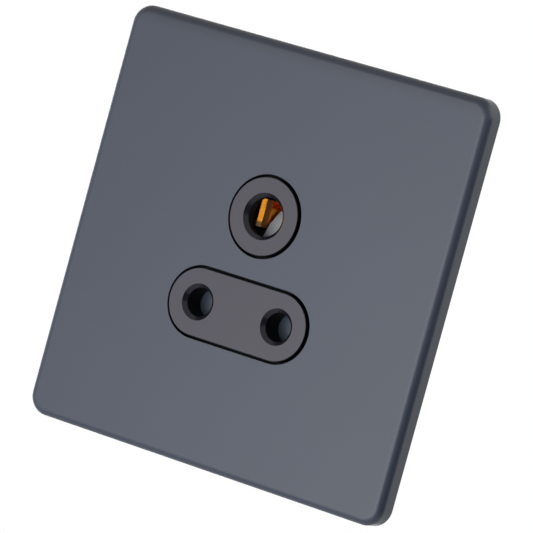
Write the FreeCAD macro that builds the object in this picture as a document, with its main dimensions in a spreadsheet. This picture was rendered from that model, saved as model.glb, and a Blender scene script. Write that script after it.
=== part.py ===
# Single round pin socket outlet with a screwless metal front plate, shown as it hangs on the wall.
# Millimetres. The origin is the centre of the front plate on the wall plane.
# X runs to the right as seen from the room, -Y points into the room and +Z points up.
import FreeCAD, Part
import math
import os
import Sketcher

doc = FreeCAD.newDocument("round_pin_socket")
sizes = doc.addObject("Spreadsheet::Sheet", "sizes")
places = doc.addObject("Spreadsheet::Sheet", "places")
sheet_rows = {"sizes": 0, "places": 0}
finished = []


def write_cell(sheet, alias, content):
    sheet_rows[sheet.Name] += 1
    row = str(sheet_rows[sheet.Name])
    sheet.set("A" + row, alias.replace("_", " "))
    sheet.set("B" + row, content)
    sheet.setAlias("B" + row, alias)


def place(alias, formula):
    write_cell(places, alias, "=" + formula)


# Front plate: one pressed sheet with a turned rim
plate_width = 86.0  # front plate, side to side
plate_height = 86.0  # front plate, bottom to top
plate_depth = 4.5  # front plate, wall to face
plate_wall = 1.2  # thickness of the front plate's sheet
plate_corner = 4.1  # radius of the front plate's corners
edge_round = 1.7  # radius round the face's edge
pip_proud = 0.4  # how far a pressed pip stands in from the rim
pip_length = 5.0  # length of a pressed pip
pip_height = 1.2  # width of a pressed pip
pip_gap = 0.15  # gap between a pip and the barb before it
prise_width = 7.0  # width of the notch that a screwdriver lifts the plate by
prise_depth = 0.9  # depth of that notch
overlap = 0.2  # how far a shape reaches into the piece that it joins
overrun = 1.0  # how far a cut runs out past the piece

# Pins of the plug, their places and their holes
pin_spacing = 19.05  # line pin to neutral pin
earth_to_live = 20.09  # earth pin to the line through the other two
earth_height = 8.75  # earth pin above the plate's centre
earth_pin = 7.06  # diameter of the earth pin
live_pin = 5.08  # diameter of the line and neutral pins
earth_ease = 0.4  # room round the earth pin
live_ease = 0.37  # room round the line and neutral pins
hole_chamfer = 0.8  # chamfer round each pin hole

# Front moulding of the socket
boss_proud = 0.45  # how far the bosses stand out of the plate
earth_boss = 7.85  # radius of the round boss
live_boss = 6.82  # radius of the long boss's ends
boss_gap = 0.6  # gap between a boss and the plate
boss_edge = 0.1  # chamfer of a boss's edge
moat_depth = 1.0  # depth of the groove round each boss in the flange
plate_gap = 0.2  # gap behind the plate's face
flange_wall = 1.5  # thickness of the moulding's flange
flange_width = 49.0  # flange, side to side
flange_height = 59.0  # flange, bottom to top
flange_corner = 3.0  # radius of the flange's corners
core_width = 45.8  # housing, side to side
core_height = 47.8  # housing, bottom to top
core_corner = 2.5  # radius of the housing's corners
earth_bore = 2.2  # depth of the earth hole in the moulding
hole_relief = 1.5  # how much wider the room behind the earth hole is
live_bore = 5.6  # depth of the line and neutral holes in the moulding

# Clip frame
frame_gap = 0.25  # gap between the clip frame and the plate's rim
rim_wall = 1.5  # thickness of the clip frame's rim
seat_gap = 0.3  # gap between the housing and the clip frame
fixing_spacing = 60.3  # fixing screw to fixing screw
fixing_hole = 2.0  # radius of a fixing hole
fixing_sink = 1.7  # countersink of a fixing hole
collar_radius = 5.0  # radius of the collar round a fixing hole
finger_height = 9.0  # height of a clip finger
finger_rise = 22.0  # clip finger above or below the centre
finger_slit = 1.0  # slit beside a clip finger
finger_relief = 0.35  # how far a clip finger stands back from the rim
barb_proud = 0.17  # how far a barb stands out from the rim
barb_height = 1.0  # height of a barb from the finger's end
barb_crest = 0.85  # height of a barb's crest from the finger's end
rib_wall = 1.2  # thickness of a stiffening rib
rib_rise = 13.0  # side rib above or below the centre
rib_across = 24.0  # upright rib to the right or left of the centre

# Shutter
slide_gap = 0.22  # play before and behind the shutter
shutter_wall = 1.5  # thickness of the shutter
shutter_travel = 6.0  # travel of the shutter
shutter_lap = 0.17  # how far the shutter overlaps a pin hole
shutter_width = 29.2  # shutter, side to side
side_gap = 0.4  # play beside the shutter
stem_width = 6.0  # width of the shutter's stem
stem_ease = 0.3  # play beside the stem
stem_drop = 0.75  # stem's top below the ramp's toe
ramp_root = 1.2  # how far the ramp runs down the stem
ramp_heel_rise = 0.4  # back corner of the ramp above its knee
ramp_width = 5.8  # width of the ramp
ramp_toe_rise = 4.01  # ramp's toe below the earth hole's centre
ramp_toe_depth = 0.8  # ramp's toe behind the shutter's face
ramp_knee_rise = 1.44  # ramp's knee below the earth hole's centre
ramp_knee_depth = 2.06  # ramp's knee behind the shutter's face
ramp_top_rise = 1.39  # ramp's top above the earth hole's centre
ramp_top_depth = 4.83  # ramp's top behind the shutter's face
ramp_wall = 1.3  # thickness of the ramp at its top
notch_half = 2.2  # half the width of the spring's notch
notch_rise = 4.0  # height of the spring's notch
peg_ease = 0.47  # room round the peg in the spring
peg_length = 2.0  # length of that peg

# Shutter spring
spring_radius = 1.4  # spring, axis to the middle of the wire
spring_wire = 0.18  # radius of the spring's wire
spring_sides = 6.0  # flat sides that stand for the wire's round
spring_turns = 4.5  # turns of the spring
spring_play = 0.05  # gap at each end of the spring
spring_ease = 0.32  # room round the spring in its groove

# Shutter cover
cover_wall = 1.4  # thickness of the shutter's cover
cover_width = 33.7  # cover, side to side
cover_top = 16.85  # cover's top above the plate's centre
cover_bottom = 21.85  # cover's bottom below the plate's centre
cover_corner = 1.5  # radius of the cover's corners
cover_play = 0.15  # gap round the cover

# Contacts and terminals
contact_sheet = 0.6  # thickness of the contact sheet
contact_grip = 0.18  # how far a leaf stands inside the pin's radius
contact_bend = 0.5  # radius of a leaf's bend
lip_out = 1.65  # how far a leaf's lip flares out
lip_mid_out = 0.8  # flare at the middle of the lip
lip_depth = 1.85  # depth of a leaf's lip
lip_mid_depth = 0.65  # depth to the middle of the lip
earth_contact_depth = 6.2  # earth contact behind the boss's face
earth_leaf_low = 2.55  # earth leaf's lower edge below the pin's centre
earth_leaf_high = 3.15  # earth leaf's upper edge above the pin's centre
live_leaf_half = 2.5  # half the height of a line or neutral leaf
contact_back = 17.6  # back of the contacts behind the wall plane
tab_width = 6.0  # width of a contact's tab
tab_lap = 1.0  # how far a tab runs on to the web
tab_hole_ease = 0.3  # room round a terminal screw in a tab
block_width = 7.0  # terminal block, side to side
block_depth = 7.0  # terminal block, front to back
block_height = 6.6  # terminal block, bottom to top
block_edge = 0.4  # chamfer of a terminal block's edges
block_play = 0.25  # gap round a terminal block
earth_block_rise = 4.85  # earth block above the earth pin's centre
live_block_drop = 3.1  # line and neutral blocks below the pins' centres
wire_bore = 2.25  # radius of a terminal's wire hole
wire_depth = 5.8  # depth of a terminal's wire hole
entry_ease = 0.35  # how much wider the wire entries are than the wire holes
thread_ease = 0.04  # room round a terminal screw in its hole
screw_shank = 1.36  # radius of a terminal screw
screw_head = 2.5  # radius of a terminal screw's head
screw_head_depth = 1.8  # thickness of a terminal screw's head
access_ease = 0.4  # room round a terminal screw's head in its access hole
screw_play = 0.05  # gap under a screw's head
drive_width = 0.7  # width of a screwdriver slot
drive_depth = 0.8  # depth of a screwdriver slot

# Earth strap to the metal plate
strap_sheet = 0.4  # thickness of the earth strap
strap_width = 7.0  # width of the earth strap
strap_play = 0.25  # gap round the earth strap
strap_finger = 4.5  # reach of the strap's spring finger
strap_touch = 0.1  # gap between the finger and the plate
strap_foot = 0.6  # foot of the strap above the foot of the block

# Rear housing and its screws
rear_wall = 2.4  # thickness of the rear wall
rear_edge = 1.0  # round of the rear edge
chamber_play = 0.5  # room beside a leaf's lip
bolt_across = 18.9  # housing screw to the right or left of the centre
bolt_rise = 16.0  # housing screw above or below the centre
bolt_shank = 1.35  # radius of a housing screw
pilot_ease = 0.05  # room round a housing or frame screw in its pilot hole
bolt_ease = 0.3  # room round a housing screw in its clearance hole
bolt_head = 2.6  # radius of its head
bolt_head_depth = 1.8  # thickness of its head
bolt_sink = 8.0  # depth of the counterbore over its head
sink_ease = 0.3  # room round a housing screw's head
bolt_reach = 4.2  # length of a housing screw in the front moulding
bolt_room = 0.4  # depth of the pilot hole past the screw
stay_across = 15.0  # frame screw beside the centre
stay_rise = 26.8  # frame screw above or below the centre
stay_shank = 1.1  # radius of a frame screw
stay_ease = 0.2  # room round a frame screw in its clearance hole
stay_sink = 0.9  # depth of its countersunk head

# Every size named above is a cell of the sheet, under the same name
for name, value in list(vars().items()):
    if isinstance(value, float):
        write_cell(sizes, name, str(value))
doc.recompute()

# Depths, counted backwards from the wall plane
place("face", "-sizes.plate_depth")  # front plate's face
place("inside", "places.face + sizes.plate_wall")  # back of the front plate's face
place("boss_face", "places.face - sizes.boss_proud")  # bosses' face
place("flange_front", "places.inside + sizes.plate_gap")  # flange's front
place("flange_back", "places.flange_front + sizes.flange_wall")  # flange's back on the clip frame
place("moat_floor", "places.flange_front + sizes.moat_depth")  # floor of the grooves
place("earth_deck", "places.boss_face + sizes.earth_bore")  # back of the deck at the earth hole
place("live_deck", "places.boss_face + sizes.live_bore")  # back of the deck at the other holes
place("shutter_face", "places.live_deck + sizes.slide_gap")  # shutter's front
place("shutter_rear", "places.shutter_face + sizes.shutter_wall")  # shutter's back
place("cover_face", "places.shutter_rear + sizes.slide_gap")  # cover's front
place("joint", "places.cover_face + sizes.cover_wall")  # joint of the two housing halves
place("tab_face", "sizes.contact_back - sizes.contact_sheet")  # front of the contacts' tabs
place("strap_rear", "sizes.contact_back + sizes.strap_sheet")  # back of the earth strap
place("chamber_end", "places.strap_rear + sizes.strap_play")  # bottom of the contact chambers
place("rear_face", "places.chamber_end + sizes.rear_wall")  # back of the rear housing
place("block_axis", "places.tab_face - sizes.block_depth / 2")  # depth of a terminal's wire hole

# Heights and widths
place("live_height", "sizes.earth_height - sizes.earth_to_live")  # height of the line and neutral pins
place("line_across", "sizes.pin_spacing / 2")  # line pin to the right of the centre
place("earth_hole", "sizes.earth_pin / 2 + sizes.earth_ease")  # radius of the earth hole
place("live_hole", "sizes.live_pin / 2 + sizes.live_ease")  # radius of the other holes
place("inner_width", "sizes.plate_width - 2 * sizes.plate_wall")  # inside width of the plate's rim
place("inner_height", "sizes.plate_height - 2 * sizes.plate_wall")  # inside height of the plate's rim
place("frame_width", "places.inner_width - 2 * sizes.frame_gap")  # width of the clip frame
place("frame_height", "places.inner_height - 2 * sizes.frame_gap")  # height of the clip frame
place("cell_width", "places.frame_width - 2 * sizes.rim_wall")  # inside width of the frame's rim
place("cell_height", "places.frame_height - 2 * sizes.rim_wall")  # inside height of the frame's rim
place("finger_bay", "sizes.finger_height / 2 + sizes.finger_slit")  # half the gap for a clip finger
place("blade_high", "places.live_height + places.live_hole + sizes.shutter_lap")  # top of the blades
place("blade_low", "places.live_height - places.live_hole - sizes.shutter_lap")  # foot of the blades
place("bay_low", "places.blade_low - sizes.shutter_travel - sizes.side_gap")  # foot of the shutter's bay
place("notch_high", "places.blade_low + sizes.notch_rise")  # spring's seat on the shutter
place("stem_high", "sizes.earth_height - sizes.ramp_toe_rise - sizes.stem_drop")  # top of the stem
place("stem_half", "sizes.stem_width / 2")  # half the stem's width
place("ramp_top_y", "places.shutter_face + sizes.ramp_top_depth")  # depth of the ramp's top
place("ramp_end_y", "places.ramp_top_y + sizes.ramp_wall")  # back of the ramp
place("spring_axis", "(places.shutter_face + places.shutter_rear) / 2")  # depth of the spring's axis
# Half the spring's groove
place("spring_half", "sizes.spring_radius + sizes.spring_wire + sizes.spring_ease")
place("spring_low", "places.bay_low + sizes.spring_play + sizes.spring_wire")  # spring's first turn
place("spring_high", "places.notch_high - sizes.spring_play - sizes.spring_wire")  # spring's last turn
place("earth_throat", "sizes.earth_pin / 2 - sizes.contact_grip")  # half the gap of the earth leaves
place("live_throat", "sizes.live_pin / 2 - sizes.contact_grip")  # half the gap of the other leaves
place("lip_slope", "(sizes.lip_out - sizes.lip_mid_out) / (sizes.lip_depth - sizes.lip_mid_depth)")  # lip
place("lip_sheet", "sizes.contact_sheet * sqrt(1 + places.lip_slope ^ 2)")  # sheet measured across the lip
place("lip_room", "sizes.lip_out + places.lip_sheet + sizes.chamber_play")  # room for a lip
place("earth_lip_y", "places.boss_face + sizes.earth_contact_depth")  # front of the earth contact
place("live_lip_y", "places.joint + sizes.cover_play")  # front of the other contacts
place("earth_low", "sizes.earth_height - sizes.earth_leaf_low")  # foot of the earth leaves
place("earth_high", "sizes.earth_height + sizes.earth_leaf_high")  # top of the earth leaves
place("live_low", "places.live_height - sizes.live_leaf_half")  # foot of the other leaves
place("live_high", "places.live_height + sizes.live_leaf_half")  # top of the other leaves
place("earth_room", "places.earth_throat + places.lip_room")  # half the earth chamber
place("live_room", "places.live_throat + places.lip_room")  # half the other chambers
place("earth_block_low", "sizes.earth_height + sizes.earth_block_rise")  # foot of the earth block
place("earth_block_high", "places.earth_block_low + sizes.block_height")  # top of the earth block
place("live_block_high", "places.live_height - sizes.live_block_drop")  # top of the other blocks
place("live_block_low", "places.live_block_high - sizes.block_height")  # foot of the other blocks
place("block_half", "sizes.block_width / 2 + sizes.block_play")  # half a block's pocket
place("strap_low", "places.earth_block_high + sizes.strap_play")  # underside of the strap
place("strap_high", "places.strap_low + sizes.strap_sheet")  # top side of the strap
place("strap_slot_low", "places.strap_low - sizes.strap_play")  # foot of the strap's slot
place("strap_slot_high", "places.strap_high + sizes.strap_play")  # top of the strap's slot
place("strap_slot_half", "sizes.strap_width / 2 + sizes.strap_play")  # half the strap's slot
place("strap_tip", "places.inside + sizes.strap_touch")  # front of the strap's finger
# Half the stem's channel and the ramp's slot
place("cover_slot_half", "places.stem_half + sizes.stem_ease")
# Foot of the ramp's slot
place("ramp_slot_low", "places.stem_high - sizes.ramp_root - sizes.shutter_travel - sizes.side_gap")
place("screw_seat", "places.strap_rear + sizes.screw_play")  # under a terminal screw's head
place("screw_tip", "places.block_axis + sizes.wire_bore + sizes.screw_play")  # tip of a terminal screw
# Round holes, as wide as their screws and wires need
place("peg_radius", "sizes.spring_radius - sizes.spring_wire - sizes.peg_ease")
place("wire_entry", "sizes.wire_bore + sizes.entry_ease")
place("thread_hole", "sizes.screw_shank + sizes.thread_ease")
place("screw_access", "sizes.screw_head + sizes.access_ease")
place("tab_hole", "sizes.screw_shank + sizes.tab_hole_ease")
place("bolt_pilot", "sizes.bolt_shank + sizes.pilot_ease")
place("bolt_pass", "sizes.bolt_shank + sizes.bolt_ease")
place("bolt_sink_radius", "sizes.bolt_head + sizes.sink_ease")
place("stay_pilot", "sizes.stay_shank + sizes.pilot_ease")
place("stay_pass", "sizes.stay_shank + sizes.stay_ease")
place("bolt_seat", "places.rear_face - sizes.bolt_sink")  # seat of a housing screw
doc.recompute()


# Sketching on a body's own planes
def number(expression):
    return float(places.evalExpression(expression))


def new_body(name):
    body = doc.addObject("PartDesign::Body", name + "_body")
    body.Label = name
    finished.append(body)
    return body


def new_sketch(body, name, plane, offset):
    sketch = body.newObject("Sketcher::SketchObject", body.Label + "_" + name)
    origin_plane = [item for item in body.Origin.OriginFeatures if item.Role == plane][0]
    sketch.AttachmentSupport = [(origin_plane, "")]
    sketch.MapMode = "FlatFace"
    sketch.setExpression("AttachmentOffset.Base.z", offset)
    return sketch


# A sketch that faces the room at a depth behind the wall plane: across is X and up is Z
def facing(body, name, depth):
    return new_sketch(body, name, "XZ_Plane", "-(" + depth + ")")


# A sketch seen from above at a height: across is X and up is Y
def level(body, name, height):
    return new_sketch(body, name, "XY_Plane", height)


# A sketch in the upright middle plane: across is Y and up is Z
def upright(body, name):
    return new_sketch(body, name, "YZ_Plane", "0")


def bind_distance(sketch, kind, geometry, point, expression):
    datum = Sketcher.Constraint(kind, -1, 1, geometry, point, number(expression))
    row = sketch.addConstraint(datum)
    sketch.setExpression("Constraints[%d]" % row, expression)


def bind_radius(sketch, geometry, expression):
    row = sketch.addConstraint(Sketcher.Constraint("Radius", geometry, number(expression)))
    sketch.setExpression("Constraints[%d]" % row, expression)


def draw_polygon(sketch, corners):
    first = sketch.GeometryCount
    points = [FreeCAD.Vector(number(across), number(up), 0) for across, up in corners]
    for index, point in enumerate(points):
        following = points[(index + 1) % len(points)]
        sketch.addGeometry(Part.LineSegment(point, following), False)
    for index, (across, up) in enumerate(corners):
        line = first + index
        following = first + (index + 1) % len(corners)
        sketch.addConstraint(Sketcher.Constraint("Coincident", line, 2, following, 1))
        bind_distance(sketch, "DistanceX", line, 1, across)
        bind_distance(sketch, "DistanceY", line, 1, up)


def draw_rectangle(sketch, left, right, low, high):
    draw_polygon(sketch, [(left, low), (right, low), (right, high), (left, high)])


def draw_circle(sketch, across, up, radius):
    centre = FreeCAD.Vector(number(across), number(up), 0)
    ring = Part.Circle(centre, FreeCAD.Vector(0, 0, 1), number(radius))
    geometry = sketch.addGeometry(ring, False)
    bind_distance(sketch, "DistanceX", geometry, 3, across)
    bind_distance(sketch, "DistanceY", geometry, 3, up)
    bind_radius(sketch, geometry, radius)


# A rectangle with round corners: four arcs joined by four tangent lines
def draw_rounded(sketch, left, right, low, high, radius):
    quarter = math.pi / 2
    upwards = FreeCAD.Vector(0, 0, 1)
    reach = number(radius)
    arcs = []
    centres = ((right, "-", high, "-"), (left, "+", high, "-"), (left, "+", low, "+"), (right, "-", low, "+"))
    for turn, (side, inwards, edge, inset) in enumerate(centres):
        across = "(" + side + ") " + inwards + " (" + radius + ")"
        up = "(" + edge + ") " + inset + " (" + radius + ")"
        ring = Part.Circle(FreeCAD.Vector(number(across), number(up), 0), upwards, reach)
        arc = sketch.addGeometry(Part.ArcOfCircle(ring, turn * quarter, (turn + 1) * quarter), False)
        arcs.append((arc, across, up))
    for index, (arc, across, up) in enumerate(arcs):
        following = arcs[(index + 1) % len(arcs)][0]
        start = sketch.getPoint(arc, 2)
        end = sketch.getPoint(following, 1)
        line = sketch.addGeometry(Part.LineSegment(start, end), False)
        sketch.addConstraint(Sketcher.Constraint("Tangent", arc, 2, line, 1))
        sketch.addConstraint(Sketcher.Constraint("Tangent", line, 2, following, 1))
    for arc, across, up in arcs:
        bind_distance(sketch, "DistanceX", arc, 3, across)
        bind_distance(sketch, "DistanceY", arc, 3, up)
    bind_radius(sketch, arcs[0][0], radius)
    for arc, across, up in arcs[1:]:
        sketch.addConstraint(Sketcher.Constraint("Equal", arcs[0][0], arc))


def draw_centred(sketch, width, height, radius):
    draw_rounded(sketch, "-" + width + " / 2", width + " / 2", "-" + height + " / 2", height + " / 2", radius)


def draw_stadium(sketch, half, up, radius):
    quarter = math.pi / 2
    height = number(up)
    reach = number(half)
    end = number(radius)
    facing_up = FreeCAD.Vector(0, 0, 1)
    right = Part.Circle(FreeCAD.Vector(reach, height, 0), facing_up, end)
    left = Part.Circle(FreeCAD.Vector(-reach, height, 0), facing_up, end)
    right_arc = sketch.addGeometry(Part.ArcOfCircle(right, -quarter, quarter), False)
    left_arc = sketch.addGeometry(Part.ArcOfCircle(left, quarter, 3 * quarter), False)
    top_left = FreeCAD.Vector(-reach, height + end, 0)
    top_right = FreeCAD.Vector(reach, height + end, 0)
    low_left = FreeCAD.Vector(-reach, height - end, 0)
    low_right = FreeCAD.Vector(reach, height - end, 0)
    top = sketch.addGeometry(Part.LineSegment(top_right, top_left), False)
    bottom = sketch.addGeometry(Part.LineSegment(low_left, low_right), False)
    sketch.addConstraint(Sketcher.Constraint("Tangent", right_arc, 2, top, 1))
    sketch.addConstraint(Sketcher.Constraint("Tangent", top, 2, left_arc, 1))
    sketch.addConstraint(Sketcher.Constraint("Tangent", left_arc, 2, bottom, 1))
    sketch.addConstraint(Sketcher.Constraint("Tangent", bottom, 2, right_arc, 1))
    bind_distance(sketch, "DistanceX", right_arc, 3, half)
    bind_distance(sketch, "DistanceY", right_arc, 3, up)
    bind_distance(sketch, "DistanceX", left_arc, 3, "-(" + half + ")")
    bind_distance(sketch, "DistanceY", left_arc, 3, up)
    bind_radius(sketch, right_arc, radius)
    sketch.addConstraint(Sketcher.Constraint("Equal", right_arc, left_arc))


# Features made from a sketch
def pad(sketch, length, both_ways=False):
    body = sketch.getParentGeoFeatureGroup()
    feature = body.newObject("PartDesign::Pad", sketch.Name + "_pad")
    feature.Profile = sketch
    feature.SideType = "Symmetric" if both_ways else "One side"
    feature.setExpression("Length", length)
    return feature


def pocket(sketch, depth, forwards=False):
    body = sketch.getParentGeoFeatureGroup()
    feature = body.newObject("PartDesign::Pocket", sketch.Name + "_pocket")
    feature.Profile = sketch
    feature.Reversed = forwards
    feature.setExpression("Length", depth)
    return feature


# Edges are picked by where they lie, so a change of size keeps them
def runs_along(edge, direction):
    if edge.Curve.TypeId != "Part::GeomLine":
        return False
    return edge.tangentAt(edge.FirstParameter).cross(direction).Length < 0.001


def lies_at_depth(edge, depth):
    box = edge.BoundBox
    return abs(box.YMin - depth) < 0.001 and abs(box.YMax - depth) < 0.001


def dress(kind, body, test, value):
    doc.recompute()
    base = body.Tip
    names = ["Edge%d" % (index + 1) for index, edge in enumerate(base.Shape.Edges) if test(edge)]
    if not names:
        raise RuntimeError("no edge to dress on " + body.Label)
    feature = body.newObject("PartDesign::" + kind, base.Name + "_" + kind.lower())
    feature.Base = (base, names)
    feature.setExpression("Radius" if kind == "Fillet" else "Size", value)
    return feature


FRONT_TO_BACK = FreeCAD.Vector(0, 1, 0)
UPWARDS = FreeCAD.Vector(0, 0, 1)


# Front plate
def make_front_plate():
    body = new_body("front_plate")
    outline = facing(body, "outline", "0")
    draw_centred(outline, "sizes.plate_width", "sizes.plate_height", "sizes.plate_corner")
    pad(outline, "sizes.plate_depth")
    face = number("places.face")
    dress("Fillet", body, lambda edge: lies_at_depth(edge, face), "sizes.edge_round")
    hollow = facing(body, "hollow", "0")
    draw_centred(hollow, "places.inner_width", "places.inner_height", "sizes.plate_corner - sizes.plate_wall")
    pocket(hollow, "sizes.plate_depth - sizes.plate_wall", forwards=True)
    inside = number("places.inside")
    dress("Fillet", body, lambda edge: lies_at_depth(edge, inside), "sizes.edge_round - sizes.plate_wall")
    cutouts = facing(body, "cutouts", "0")
    draw_circle(cutouts, "0", "sizes.earth_height", "sizes.earth_boss + sizes.boss_gap")
    draw_stadium(cutouts, "places.line_across", "places.live_height", "sizes.live_boss + sizes.boss_gap")
    pocket(cutouts, "sizes.plate_depth", forwards=True)
    for rise, side in ((1, "upper"), (-1, "lower")):
        pip = level(body, side + "_pips", "%d * sizes.finger_rise" % rise)
        for sign in ("", "-"):
            rim = sign + "(places.inner_width / 2 + sizes.plate_wall / 2)"
            crest = sign + "(places.inner_width / 2 - sizes.pip_proud)"
            middle = "places.flange_front + sizes.barb_height + sizes.pip_height / 2 + sizes.pip_gap"
            foot = "(" + middle + ") - sizes.pip_height / 2"
            heel = "(" + middle + ") + sizes.pip_height / 2"
            draw_polygon(pip, [(rim, foot), (crest, middle), (rim, heel)])
        pad(pip, "sizes.pip_length", both_ways=True)
    notch = facing(body, "prise_notch", "0")
    draw_rectangle(notch, "-sizes.prise_width / 2", "sizes.prise_width / 2",
                   "-sizes.plate_height / 2 - sizes.overrun", "-places.inner_height / 2 + sizes.overlap")
    pocket(notch, "sizes.prise_depth", forwards=True)


# Clip frame that the fixing screws hold to the wall box
def make_clip_frame():
    body = new_body("clip_frame")
    outline = facing(body, "outline", "0")
    corner = "sizes.plate_corner - sizes.plate_wall - sizes.frame_gap"
    draw_centred(outline, "places.frame_width", "places.frame_height", corner)
    pad(outline, "-places.flange_front")
    tray = facing(body, "tray", "places.flange_front")
    draw_centred(tray, "places.cell_width", "places.cell_height", corner + " - sizes.rim_wall")
    draw_circle(tray, "sizes.fixing_spacing / 2", "0", "sizes.collar_radius")
    draw_circle(tray, "-sizes.fixing_spacing / 2", "0", "sizes.collar_radius")
    pocket(tray, "sizes.flange_wall")
    window = facing(body, "window", "places.flange_front")
    draw_centred(window, "(sizes.core_width + 2 * sizes.seat_gap)", "(sizes.core_height + 2 * sizes.seat_gap)",
                 "sizes.core_corner")
    pocket(window, "-places.flange_front")
    ribs = facing(body, "ribs", "places.flange_back")
    for sign in ("", "-"):
        for other in ("", "-"):
            left = sign + "(sizes.flange_width / 2 + sizes.seat_gap)"
            right = sign + "(places.cell_width / 2 + sizes.overlap)"
            low = other + "(sizes.rib_rise - sizes.rib_wall / 2)"
            high = other + "(sizes.rib_rise + sizes.rib_wall / 2)"
            draw_rectangle(ribs, left, right, low, high)
            left = sign + "(sizes.rib_across - sizes.rib_wall / 2)"
            right = sign + "(sizes.rib_across + sizes.rib_wall / 2)"
            low = other + "(sizes.flange_height / 2 + sizes.seat_gap)"
            high = other + "(places.cell_height / 2 + sizes.overlap)"
            draw_rectangle(ribs, left, right, low, high)
    pad(ribs, "sizes.flange_wall")
    bays = facing(body, "finger_bays", "places.flange_front")
    relief = facing(body, "finger_relief", "places.flange_front")
    for sign in ("", "-"):
        for other in ("", "-"):
            low = other + "(sizes.finger_rise - places.finger_bay)"
            high = other + "(sizes.finger_rise + places.finger_bay)"
            outside = sign + "(places.frame_width / 2 + sizes.overrun)"
            draw_rectangle(bays, sign + "places.cell_width / 2", outside, low, high)
            reach = sign + "(places.frame_width / 2 - sizes.finger_relief)"
            draw_rectangle(relief, reach, outside, low, high)
    pocket(bays, "sizes.flange_wall")
    pocket(relief, "-places.flange_front")
    for rise, side in ((1, "upper"), (-1, "lower")):
        fingers = level(body, side + "_fingers", "%d * sizes.finger_rise" % rise)
        for sign in ("", "-"):
            root = sign + "places.cell_width / 2"
            back = sign + "(places.frame_width / 2 - sizes.finger_relief)"
            barb = sign + "(places.frame_width / 2 + sizes.barb_proud)"
            foot = "places.flange_back + sizes.overlap"
            draw_polygon(fingers, [(root, foot), (back, foot),
                                   (back, "places.flange_front + sizes.barb_height"),
                                   (barb, "places.flange_front + sizes.barb_crest"),
                                   (back, "places.flange_front"), (root, "places.flange_front")])
        pad(fingers, "sizes.finger_height", both_ways=True)
    holes = facing(body, "fixing_holes", "places.flange_front")
    draw_circle(holes, "sizes.fixing_spacing / 2", "0", "sizes.fixing_hole")
    draw_circle(holes, "-sizes.fixing_spacing / 2", "0", "sizes.fixing_hole")
    pocket(holes, "-places.flange_front")
    rim_radius = number("sizes.fixing_hole")
    front = number("places.flange_front")
    dress("Chamfer", body, lambda edge: lies_at_depth(edge, front) and is_ring(edge, rim_radius),
          "sizes.fixing_sink")
    pilots = facing(body, "frame_screw_holes", "places.flange_back")
    draw_circle(pilots, "-sizes.stay_across", "sizes.stay_rise", "places.stay_pilot")
    draw_circle(pilots, "sizes.stay_across", "-sizes.stay_rise", "places.stay_pilot")
    pocket(pilots, "-places.flange_back")


def is_ring(edge, radius):
    return edge.Curve.TypeId == "Part::GeomCircle" and abs(edge.Curve.Radius - radius) < 0.001


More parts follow.
